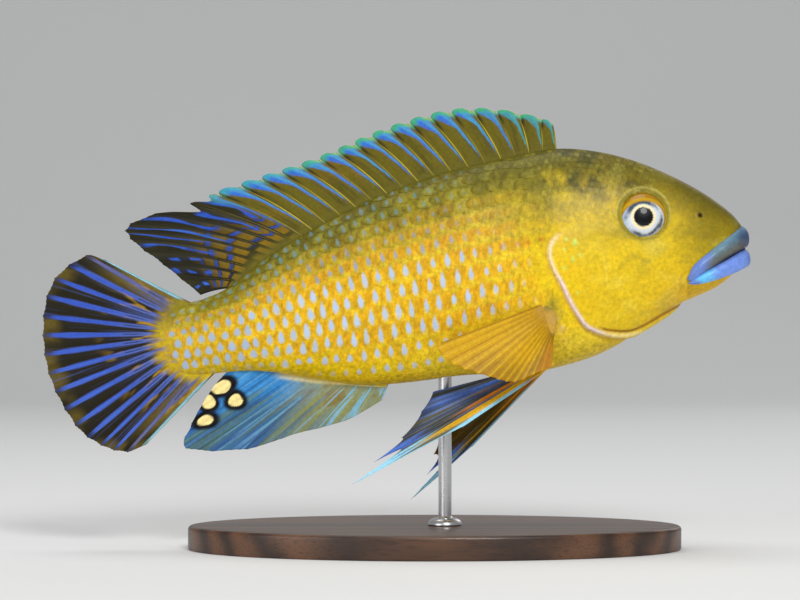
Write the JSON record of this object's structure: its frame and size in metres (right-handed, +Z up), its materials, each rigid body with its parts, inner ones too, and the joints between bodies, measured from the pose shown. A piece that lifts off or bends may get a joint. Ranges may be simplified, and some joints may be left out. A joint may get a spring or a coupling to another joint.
{
  "type": "mbuna cichlid display model",
  "caption": "Life-size still model of a yellow and blue mbuna cichlid swimming nose up, fins spread, on one rod over a flat oval display base.",
  "frame": {"origin": "centre of the bounding box in X and Y, at the underside of the stand's base", "axes": "+X towards the snout, level, with the fish pitched nose up in the XZ plane; +Y towards the fish's left side; +Z up"},
  "size_m": [0.1497, 0.062, 0.0931],
  "materials": {
    "head_skin": "smooth wet skin, olive on the brow and yellow on the cheek",
    "flank_skin": "overlapping scales, saturated yellow with pale blue spots, olive on the back",
    "eye": "clear cornea over a silver iris and a black pupil",
    "lips": "smooth thick blue lips",
    "dorsal_fin": "olive brown fin skin with blue bands and yellow green spines",
    "dark_fins": "near black fin skin with bright blue streaks along the rays",
    "anal_fin": "bright blue fin skin, olive in front, with cream egg spots ringed in black",
    "pelvic_fins": "orange and blue fin skin with a pale blue leading edge",
    "pectoral_fins": "thin orange fin skin with pale yellow rays",
    "stand_wood": "dark walnut, satin",
    "stand_steel": "brushed"
  },
  "bodies": {
    "root": {"head": "head_skin", "trunk": "flank_skin", "tail_stalk": "flank_skin", "gill_cover_right": "head_skin", "gill_cover_left": "head_skin", "eye_right": "eye", "eye_left": "eye", "upper_lip": "lips", "lower_lip": "lips", "dorsal_fin_spiny": "dorsal_fin", "dorsal_fin_soft": "dark_fins", "caudal_fin": "dark_fins", "anal_fin": "anal_fin", "pelvic_fin_right": "pelvic_fins", "pelvic_fin_left": "pelvic_fins", "pectoral_fin_right": "pectoral_fins", "pectoral_fin_left": "pectoral_fins", "stand_base": "stand_wood", "stand_rod": "stand_steel"}
  },
  "joints": []
}
